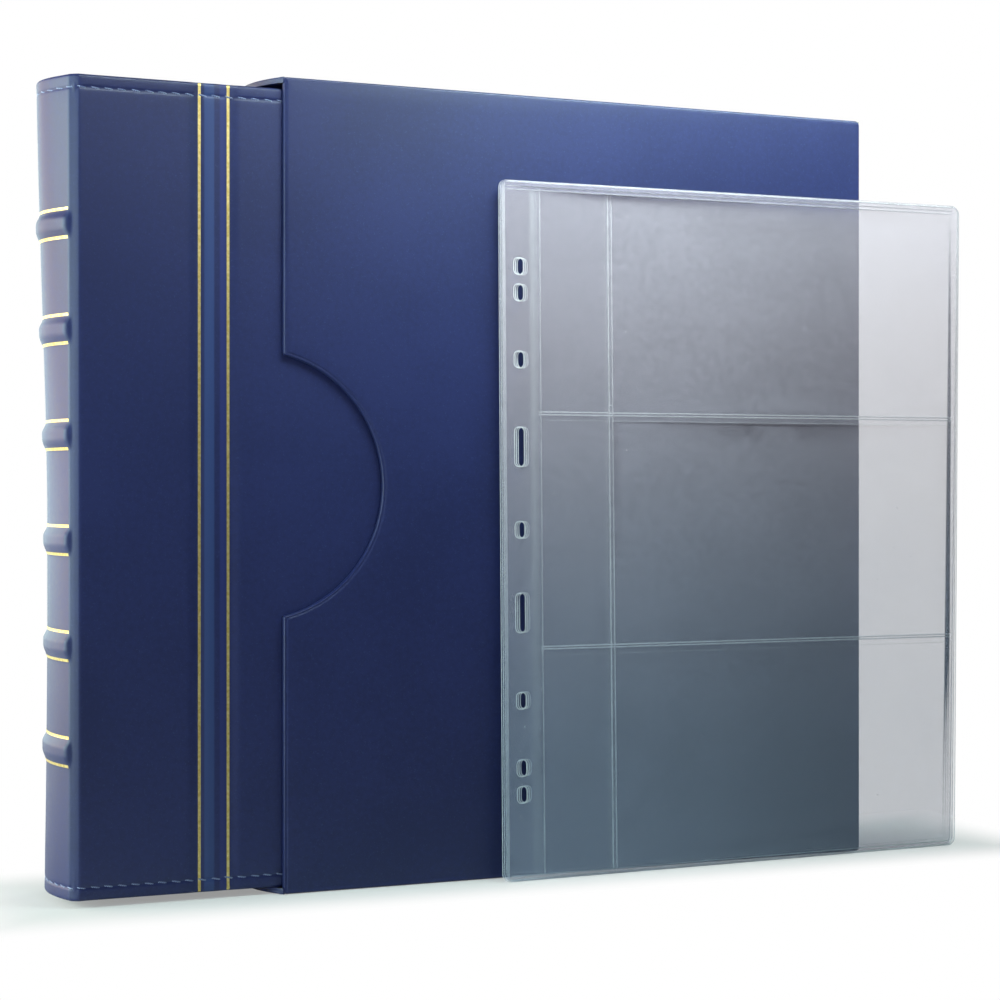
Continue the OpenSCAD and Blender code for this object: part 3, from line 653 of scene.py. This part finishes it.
# Each row is a ring of a panel: how far in from its outline, and how deep under its outer face. A panel's rows have
# to be as many on every edge, so the walls end in a few that only fill up the number.
ROUND = 1.1
WALL_ROWS = [(6.0, SIDE_WALL), (1.0, SIDE_WALL), (0.3, SIDE_WALL), (0.0, 2.1)]
WALL_ROWS += [(ROUND * (1 - math.cos(t)), 0.2 + ROUND * (1 - math.sin(t))) for t in quarter(6)]
WALL_ROWS += [(2.4, 0.14), (3.8, 0.08), (5.4, 0.03), (7.9, 0.0)]
MOUTH_ROWS = [(6.0, SIDE_WALL), (5.8, 2.66), (0.45, 2.70), (0.05, 2.62), (-0.08, 2.38), (-0.05, 1.6), (0.02, 1.0),
              (0.22, 0.62), (0.5, 0.43), (0.75, 0.38), (1.0, 0.45), (1.25, 0.45), (1.45, 0.30), (1.7, 0.15),
              (2.1, 0.11), (3.3, 0.07), (5.0, 0.03), (7.2, 0.0)]
while len(WALL_ROWS) < len(MOUTH_ROWS):
    WALL_ROWS.append((8.0 + 0.01 * len(WALL_ROWS), 0.0))


def corner_point(point, before, after, radius, inset, turn):
    """A point of a ring at a corner of a panel's outline: rounded near the edge and square further in.

    before and after are the inward normals of the two edges; turn goes from 0 at the first to 1 at the second.
    """
    mitre = (before + after) / (1 + before @ after)
    if radius == 0 or inset >= radius:
        return point + inset * mitre
    first = math.atan2(-before[1], -before[0])
    last = math.atan2(-after[1], -after[0])
    swing = (last - first + math.pi) % (2 * math.pi) - math.pi
    angle = first + swing * turn
    return point + radius * mitre + (radius - inset) * np.array([math.cos(angle), math.sin(angle)])


def panel_rings(outline, rows):
    """Rings of a panel. outline is a closed list of (point, radius, kind of the edge after it), anticlockwise.

    rows maps a kind of edge to its (inset, depth) rows; kinds blend round a corner.
    """
    n = len(outline)
    points = [np.array(o[0], float) for o in outline]
    inward = []
    for k in range(n):
        d = points[(k + 1) % n] - points[k]
        d /= np.linalg.norm(d)
        inward.append(np.array([-d[1], d[0]]))
    rings = []
    for row in range(len(next(iter(rows.values())))):
        ring = []
        for k in range(n):
            before, after = inward[k - 1], inward[k]
            radius = outline[k][1]
            first, second = rows[outline[k - 1][2]][row], rows[outline[k][2]][row]
            for turn in (0, 0.25, 0.5, 0.75, 1) if radius > 0 else (0.5,):
                inset, depth = [p * (1 - turn) + q * turn for p, q in zip(first, second)]
                ring.append((*corner_point(points[k], before, after, radius, inset, turn), depth))
        rings.append(ring)
    return np.array(rings)


def thumb_arc(count):
    """Points of the thumb notch, from its lower end up to its upper end."""
    half = math.asin(THUMB_H / 2 / THUMB_R)
    turns = np.linspace(-half, half, count)
    return [(THUMB_CX + THUMB_R * math.cos(t), CASE_H / 2 + THUMB_R * math.sin(t)) for t in turns]


FOOT_R, HEAD_R, END_R, THUMB_CORNER_R = 1.4, 1.2, 2.2, 1.0


def side_outline():
    """Outline of a side panel in X and Z, anticlockwise from its foot at the mouth."""
    arc = thumb_arc(64)
    outline = [((MOUTH_X, 0), FOOT_R, "wall"), ((END_X, 0), END_R, "wall"), ((END_X, CASE_H), END_R, "wall"),
               ((MOUTH_X, CASE_H), HEAD_R, "mouth"), (arc[-1], THUMB_CORNER_R, "mouth")]
    outline += [(p, 0, "mouth") for p in arc[-2:0:-1]]
    return outline + [(arc[0], THUMB_CORNER_R, "mouth")]


side_rings = panel_rings(side_outline(), {"wall": WALL_ROWS, "mouth": MOUTH_ROWS})
for side, word in ((-1, "front"), (1, "rear")):
    x, z, depth = side_rings[..., 0], side_rings[..., 1], side_rings[..., 2]
    rings = np.stack([x, side * (CASE_HALF - depth), z], axis=-1)
    panel = piece(f"case_{word}_leather", *loft(rings), [leather], "slipcase", "leather", sharp=50)
    if word == "front":
        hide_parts("case_side_leather")

LID_HALF = CASE_HALF - SIDE_WALL
FLUSH_ROWS = [(1.0, SIDE_WALL), (0.3, SIDE_WALL), (0.0, SIDE_WALL - 0.02), (0.0, 2.0), (0.0, 1.0), (0.0, 0.4),
              (0.0, 0.1), (0.05, 0.03), (0.3, 0.0), (1.0, 0.0), (2.0, 0.0), (4.0, 0.0)]
LIP_ROWS = [(4.0, 2.62), (0.4, 2.64), (0.08, 2.5), (0.0, 2.2), (0.12, 1.8), (0.12, 1.0), (0.0, 0.6), (0.12, 0.25),
            (0.4, 0.02), (0.9, -0.05), (2.0, 0.04), (4.0, 0.0)]


def lid_outline():
    """Outline of the top panel in X and Y, anticlockwise, with the curved lip at the mouth."""
    start = math.asin(LID_HALF / LIP_R)
    turns = np.linspace(start, -start, 28)
    middle = MOUTH_X - LIP_SAG + LIP_R
    lip = [((middle - LIP_R * math.cos(t), LIP_R * math.sin(t)), 0, "lip") for t in turns]
    lip[-1] = (lip[-1][0], 0, "flush")
    return [((END_X - SIDE_WALL, -LID_HALF), 0, "flush"), ((END_X - SIDE_WALL, LID_HALF), 0, "flush")] + lip


lid_rings = panel_rings(lid_outline(), {"flush": FLUSH_ROWS, "lip": LIP_ROWS})
for word, level, down in (("top", CASE_H, 1), ("bottom", 0.0, -1)):
    x, y, depth = lid_rings[..., 0], lid_rings[..., 1], lid_rings[..., 2]
    rings = np.stack([x, y, level - down * depth], axis=-1)
    lid = piece(f"case_{word}_cover", *loft(rings), [leather], "slipcase", "leather", sharp=50)
    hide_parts(f"case_{word}_leather")


def lip_corner(side, level, down):
    """The end of a lid's lip, where it turns in behind the edge of a side panel."""
    across = np.linspace(LID_HALF - 0.1, CASE_HALF - 0.45, 5)
    outline = [(MOUTH_X - LIP_SAG + LIP_R - math.sqrt(LIP_R ** 2 - y * y), side * y) for y in across]
    outline = np.array(outline + [(MOUTH_X + 0.5, side * across[-1]), (MOUTH_X + 0.5, side * across[0])])
    middle = outline.mean(0)
    rows = [(SIDE_WALL + 0.4, 0.85), (SIDE_WALL + 0.2, 1.0), (0.25, 1.0), (0.02, 0.85)]
    return loft([[(*(middle + (p - middle) * share), level - down * depth) for p in outline] for depth, share in rows])


lip_corners = gather([lip_corner(side, level, down) for side in (-1, 1) for level, down in ((CASE_H, 1), (0.0, -1))])
piece("case_lip_corners", *lip_corners, [leather], "slipcase", "leather", sharp=50)

# The strip of leather over the closed end: how far it laps the sides, its chamfer, and its gap to the lids.
END_LAP, END_CHAMFER, END_SHORT = 1.0, 0.7, 0.3
end_box = []
for short, tuck in ((END_SHORT, END_CHAMFER), (END_SHORT + END_CHAMFER, 0)):
    across = [(END_X - SIDE_WALL, -1), (END_X - tuck, -1), (END_X - tuck, 1), (END_X - SIDE_WALL, 1)]
    for z in (short, CASE_H - short):
        end_box.append([(x, side * (LID_HALF + END_LAP), z) for x, side in across])
end_box.sort(key=lambda ring: ring[0][2])
piece("case_end_leather", *loft(end_box), [leather], "slipcase", "leather", sharp=50)


# ---- pocket pages -------------------------------------------------------------------------------------------------
PAGE_W, PAGE_H, PAGE_T = 246.0, 318.0, 0.6
HOLE_EDGE, HOLE_W, HOLE_H, SLOT_H, HOLE_R = 10.0, 4.6, 7.2, 17.6, 1.9
SHORT_HOLES = (-120, -108, -77.5, 0, 77.5, 108, 120)
LONG_HOLES = (-37.7, 37.7)
PAGE_X, PAGE_STEP, PAGE_FOOT, PAGE_PITCH = MOUTH_X + 99.2, 1.3, 9.0, 0.75
LEAN = math.asin((PAGE_FOOT - 0.3) / PAGE_H)
PAGE_CORNER_R, GRID, GRID_X, GRID_Y = 4.0, 9.5, 24, 8


def round_box(x0, y0, x1, y1, radius, steps=5):
    """Anticlockwise points of a rectangle with round corners."""
    points = []
    for cx, cy, start in ((x1 - radius, y0 + radius, -90), (x1 - radius, y1 - radius, 0),
                          (x0 + radius, y1 - radius, 90), (x0 + radius, y0 + radius, 180)):
        for k in range(steps + 1):
            angle = math.radians(start + 90 * k / steps)
            points.append((cx + radius * math.cos(angle), cy + radius * math.sin(angle)))
    return points


def page_holes(wider):
    """Outlines of the punched holes, each wider by so much all round."""
    half_w = HOLE_W / 2 + wider
    tall = [(k, HOLE_H / 2 + wider) for k in SHORT_HOLES] + [(k, SLOT_H / 2 + wider) for k in LONG_HOLES]
    return [round_box(HOLE_EDGE - half_w, PAGE_H / 2 + k - h, HOLE_EDGE + half_w, PAGE_H / 2 + k + h, HOLE_R + wider)
            for k, h in tall]


# Raised lines of the welds, as (left, foot, right, head), and the broad pressed strips beside them.
CRISP, SOFT, RIM = 2, 1, 3
LINES = [
    (-1.0, -1.0, 1.5, PAGE_H + 1, CRISP), (-1.0, PAGE_H - 0.9, PAGE_W + 1, PAGE_H + 1, CRISP),
    (-1.0, -1.0, PAGE_W + 1, 0.8, CRISP), (PAGE_W - 1.0, -1.0, PAGE_W + 1, PAGE_H + 1, SOFT),
    (15.0, 2.6, 17.6, PAGE_H - 4.2, SOFT), (18.5, 2.6, 19.2, PAGE_H - 2.4, CRISP),
    (53.25, 2.6, 53.95, PAGE_H - 4.2, CRISP), (55.05, 2.6, 55.75, PAGE_H - 4.2, CRISP),
    (239.4, 2.6, 239.9, PAGE_H - 2.4, SOFT), (241.4, 2.6, 241.9, PAGE_H - 2.4, SOFT),
    (2.2, PAGE_H - 2.7, 242.0, PAGE_H - 2.1, CRISP), (2.2, PAGE_H - 4.2, 242.0, PAGE_H - 3.6, CRISP),
    (17.6, 212.45, 240.4, 213.1, CRISP), (17.6, 211.2, 240.4, 211.85, CRISP), (18.5, 208.8, 240.4, 209.2, SOFT),
    (17.6, 105.3, 240.4, 105.95, CRISP), (17.6, 104.15, 240.4, 104.8, CRISP), (18.5, 101.4, 240.4, 101.8, SOFT),
    (2.2, 2.0, 242.0, 2.6, CRISP), (2.2, 3.6, 242.0, 4.1, SOFT),
]
LINE_RISE, LINE_SLOPE, RIM_W = 0.20, 0.12, 0.45


def line_rise(x, y):
    """Height of the welds' raised lines over the film."""
    rise = np.zeros(np.shape(x))
    for x0, y0, x1, y1, kind in LINES:
        within = np.minimum(np.minimum(x - x0, x1 - x), np.minimum(y - y0, y1 - y))
        top = LINE_RISE if kind == CRISP else LINE_RISE * 0.5
        rise = np.maximum(rise, top * np.clip(within / LINE_SLOPE, 0, 1))
    return rise


def line_kind(x, y):
    """Which finish the film has at a point: 0 where it is plain."""
    kinds = [kind for x0, y0, x1, y1, kind in LINES if x0 < x < x1 and y0 < y < y1]
    return max(kinds, default=0)


def page_mesh():
    """The page laid flat: its points (x, y), its triangles and the finish of each."""
    points, edges = [], []

    def add_loop(loop):
        first = len(points)
        points.extend(loop)
        edges.extend((first + k, first + (k + 1) % len(loop)) for k in range(len(loop)))

    outline = round_box(0, 0, PAGE_W, PAGE_H, PAGE_CORNER_R, 7)
    add_loop(outline)
    holes, rims = page_holes(0), page_holes(RIM_W)
    for loop in holes + rims:
        add_loop(loop)
    for x0, y0, x1, y1, _ in LINES:
        for t in (0, LINE_SLOPE):
            add_loop([(x0 + t, y0 + t), (x1 - t, y0 + t), (x1 - t, y1 - t), (x0 + t, y1 - t)])
    for x in np.arange(GRID_X, PAGE_W - GRID_Y, GRID):
        for y in np.arange(GRID_Y, PAGE_H - GRID_Y, GRID):
            points.append((x, y))
    out = geometry.delaunay_2d_cdt([Vector(p) for p in points], edges, [], 0, 1e-5)
    flat = np.array([tuple(v) for v in out[0]])
    faces, kinds = [], []
    for face in out[2]:
        middle = flat[list(face)].mean(0)
        if in_loop(middle, outline) and not any(in_loop(middle, hole) for hole in holes):
            faces.append(tuple(face))
            kinds.append(RIM if any(in_loop(middle, rim) for rim in rims) else line_kind(*middle))
    used = sorted({k for face in faces for k in face})
    place = {old: new for new, old in enumerate(used)}
    return flat[used], [tuple(place[k] for k in face) for face in faces], kinds


def in_loop(point, loop):
    """Is a point inside a convex anticlockwise loop?"""
    px, py = point
    for (x0, y0), (x1, y1) in zip(loop, loop[1:] + loop[:1]):
        if (x1 - x0) * (py - y0) - (y1 - y0) * (px - x0) < 0:
            return False
    return True


# How far a page's right-hand edge stands forward at its foot, how much further at its head, and its left-hand head.
CURL_FOOT, CURL_RISE, CURL_LEFT = -9.5, 15.5, 3.5


def forward(x, y, share):
    """How far a loose page curls forward out of its plane; less than 0 is back, beside the case."""
    across, up = np.clip(x / PAGE_W, 0, 1), np.clip(y / PAGE_H, 0, 1)
    right = CURL_FOOT + CURL_RISE * (1 - (1 - up) ** 2.2)
    return share * (right * across ** 2 + CURL_LEFT * up ** 2 * (1 - across) ** 3)


flat, triangles, finishes = page_mesh()


def loose_page(name, order, share):
    """One page, closed, leaning on the case."""
    x, y = flat[:, 0], flat[:, 1]
    out = forward(x, y, share)
    front, back = PAGE_T + line_rise(x, y) + out, out
    base_x = PAGE_X + order * PAGE_STEP
    base_y = -CASE_HALF - PAGE_FOOT - (2 - order) * PAGE_PITCH / math.cos(LEAN)

    def stood(depth):
        return np.stack([base_x + x, base_y - depth * math.cos(LEAN) + y * math.sin(LEAN),
                         y * math.cos(LEAN) + np.minimum(depth, PAGE_T) * math.sin(LEAN) * (depth > 0)], axis=-1)

    count = len(flat)
    rim, faces, kinds = {}, [], []
    for tri, kind in zip(triangles, finishes):
        for e in zip(tri, tri[1:] + tri[:1]):
            key = tuple(sorted(e))
            rim[key] = None if key in rim else e
        faces += [tri, tuple(i + count for i in reversed(tri))]
        kinds += [SOFT if kind == CRISP and order < 2 else kind, 0]
    for e in rim.values():
        if e:
            faces.append((e[1], e[0], e[0] + count, e[1] + count))
            kinds.append(RIM)
    made = piece(name, np.concatenate([stood(front), stood(back)]), faces, [film, film_soft, film_line, film_edge],
                 "loose_pages", "clear_film", sharp=25, face_materials=kinds)
    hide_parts(name.replace("pocket", "loose"))


for order, (word, bow) in enumerate((("front", 1.0), ("middle", 0.9), ("rear", 0.8))):
    loose_page(f"pocket_page_{word}", order, bow)


# ---- finishes of the parts that stay as they are --------------------------------------------------------------------
def finish_node(name, material, bevel=0.0):
    """Gives a CAD part its finish, and softens its edges by a width in millimetres."""
    node = nodes[name]
    node.data.materials.clear()
    node.data.materials.append(material)
    if bevel:
        edge = node.modifiers.new("soft_edges", "BEVEL")
        edge.width, edge.segments, edge.limit_method = bevel * MM, 2, "ANGLE"


for name in nodes:
    if "endpaper" in name:
        finish_node(name, endpaper)
    elif name in ("case_lining", "spine_lining"):
        finish_node(name, lining)
    elif "padding" in name or "hinge_cord" in name:
        finish_node(name, foam)
    elif "board" in name or name in ("raised_bands", "packing_strip"):
        finish_node(name, board)
    elif name in ("ring_plate", "front_blade", "rear_blade", "top_lever", "bottom_lever"):
        finish_node(name, steel, 0.12)
    elif name in ("plate_rivets", "lever_pins", "front_half_rings", "rear_half_rings"):
        finish_node(name, steel)
    elif name == "filed_pages":
        finish_node(name, film)
    elif "gold" in name:
        finish_node(name, foil)
    elif "loose_page" in name:
        finish_node(name, film)
    else:
        finish_node(name, leather)


# ---- floor, light and background ------------------------------------------------------------------------------------
# Brightness of the wall behind the object and of the room before it, as gloss shows them, and as they light it.
BACKGROUND_SIDE, ROOM_SIDE, AMBIENT = 0.4, 0.05, 0.05
# The shadow's box on the floor, in metres: its middle and half its length, half its depth, and the blur round it.
SHADOW_X, SHADOW_HALF_X, SHADOW_HALF_Y, SHADOW_BLUR = -0.02, 0.225, 0.026, 0.05
FLOOR_SIDE, FLOOR_DROP = 20, 0.0002


def rays_that_see(paint):
    """1 for the camera's rays, and 1 for those that a gloss or a clear film sends on."""
    kinds = [paint.node("ShaderNodeLightPath", out=f"Is {kind} Ray") for kind in ("Camera", "Glossy", "Transmission")]
    return kinds[0], kinds[1].most(kinds[2])


def floor_paint():
    """White floor that keeps the soft shadow close to the object and is plain white further off."""
    paint = Paint("studio_floor")
    seen = rays_that_see(paint)[0]
    beside = (paint.along(0) + -SHADOW_X).size() - SHADOW_HALF_X
    before = paint.along(1).size() - SHADOW_HALF_Y
    share = beside.most(before).span(0.0, SHADOW_BLUR, 0.30, 1.0) * seen
    matt = paint.node("ShaderNodeBsdfDiffuse", sockets={"Color": (0.92, 0.92, 0.92)})
    white = paint.node("ShaderNodeEmission", sockets={"Color": (1.0, 1.0, 1.0), "Strength": 1.0})
    shader = paint.node("ShaderNodeMixShader", sockets={0: share, 1: matt, 2: white})
    paint.node("ShaderNodeOutputMaterial", sockets={"Surface": shader})
    return paint.material


floor_mesh = bpy.data.meshes.new("studio_floor")
floor_mesh.from_pydata([(x * FLOOR_SIDE, y * FLOOR_SIDE, -FLOOR_DROP)
                        for x, y in ((-1, -1), (1, -1), (1, 1), (-1, 1))], [], [(0, 1, 2, 3)])
floor_mesh.materials.append(floor_paint())
floor = bpy.data.objects.new("studio_floor", floor_mesh)
bpy.context.scene.collection.objects.link(floor)


def studio_world():
    """White where it is seen, a white wall behind the object and a dim room before it in its gloss."""
    paint = Paint("studio", bpy.data.worlds)
    seen, mirrored = rays_that_see(paint)
    facing = paint.node("ShaderNodeSeparateXYZ", sockets={0: paint.node("ShaderNodeTexCoord", out="Generated")}, out=1)
    wall = facing.span(-0.1, 0.35, ROOM_SIDE, BACKGROUND_SIDE)
    level = seen + (1 - seen) * (mirrored * wall + (1 - mirrored) * AMBIENT)
    glow = paint.node("ShaderNodeBackground", sockets={"Color": (1.0, 1.0, 1.0), "Strength": level})
    paint.node("ShaderNodeOutputWorld", sockets={"Surface": glow})
    paint.material.cycles.sampling_method = "NONE"
    return paint.material


bpy.context.scene.world = studio_world()


def soft_light(name, place, aim, width, height, power, colour=(1, 1, 1), spread=180):
    """A soft lamp at a place, turned to what it lights; sizes in metres, power in watts, spread in degrees."""
    data = bpy.data.lights.new(name, "AREA")
    data.shape, data.size, data.size_y, data.energy, data.color = "RECTANGLE", width, height, power, colour
    data.spread = math.radians(spread)
    lamp = bpy.data.objects.new(name, data)
    lamp.location = place
    lamp.rotation_euler = (Vector(aim) - Vector(place)).to_track_quat("-Z", "Y").to_euler()
    bpy.context.scene.collection.objects.link(lamp)


soft_light("top_front", (0.05, -0.55, 0.95), (0.0, 0.0, 0.46), 1.0, 0.3, 1.2, (0.82, 0.98, 0.98), spread=30)
soft_light("top_graze", (0.18, -0.12, 0.48), (0.14, -0.01, 0.34), 0.5, 0.1, 0.72, (0.75, 1.0, 0.95), spread=80)
soft_light("top_gloss", (0.30, -0.80, 0.62), (0.1, 0.0, 0.50), 0.8, 0.3, 0.12, spread=35)
soft_light("foot_front", (-0.3, -0.9, 0.05), (0.0, 0.0, 0.05), 0.8, 0.3, 0.10, (0.55, 0.68, 1.0), spread=60)
soft_light("left_front", (-1.1, -0.45, 0.30), (-0.2, 0.0, 0.2), 0.5, 0.8, 0.6, (0.74, 0.96, 0.92), spread=60)
soft_light("left_side", (-1.3, 0.05, 0.25), (-0.2, 0.0, 0.18), 0.8, 0.9, 22, (0.75, 1.0, 0.92))
soft_light("left_rear", (-1.1, 0.7, 0.35), (-0.24, 0.0, 0.18), 0.9, 0.9, 7.5, (1.0, 0.72, 0.58))
soft_light("left_far", (-0.7, 1.6, 0.4), (-0.24, 0.0, 0.18), 1.2, 1.0, 10, (0.75, 1.0, 0.95))
soft_light("right_rear", (1.2, 0.8, 0.5), (0.1, 0.0, 0.18), 0.8, 0.8, 8)

bpy.context.scene.view_settings.view_transform = "Standard"
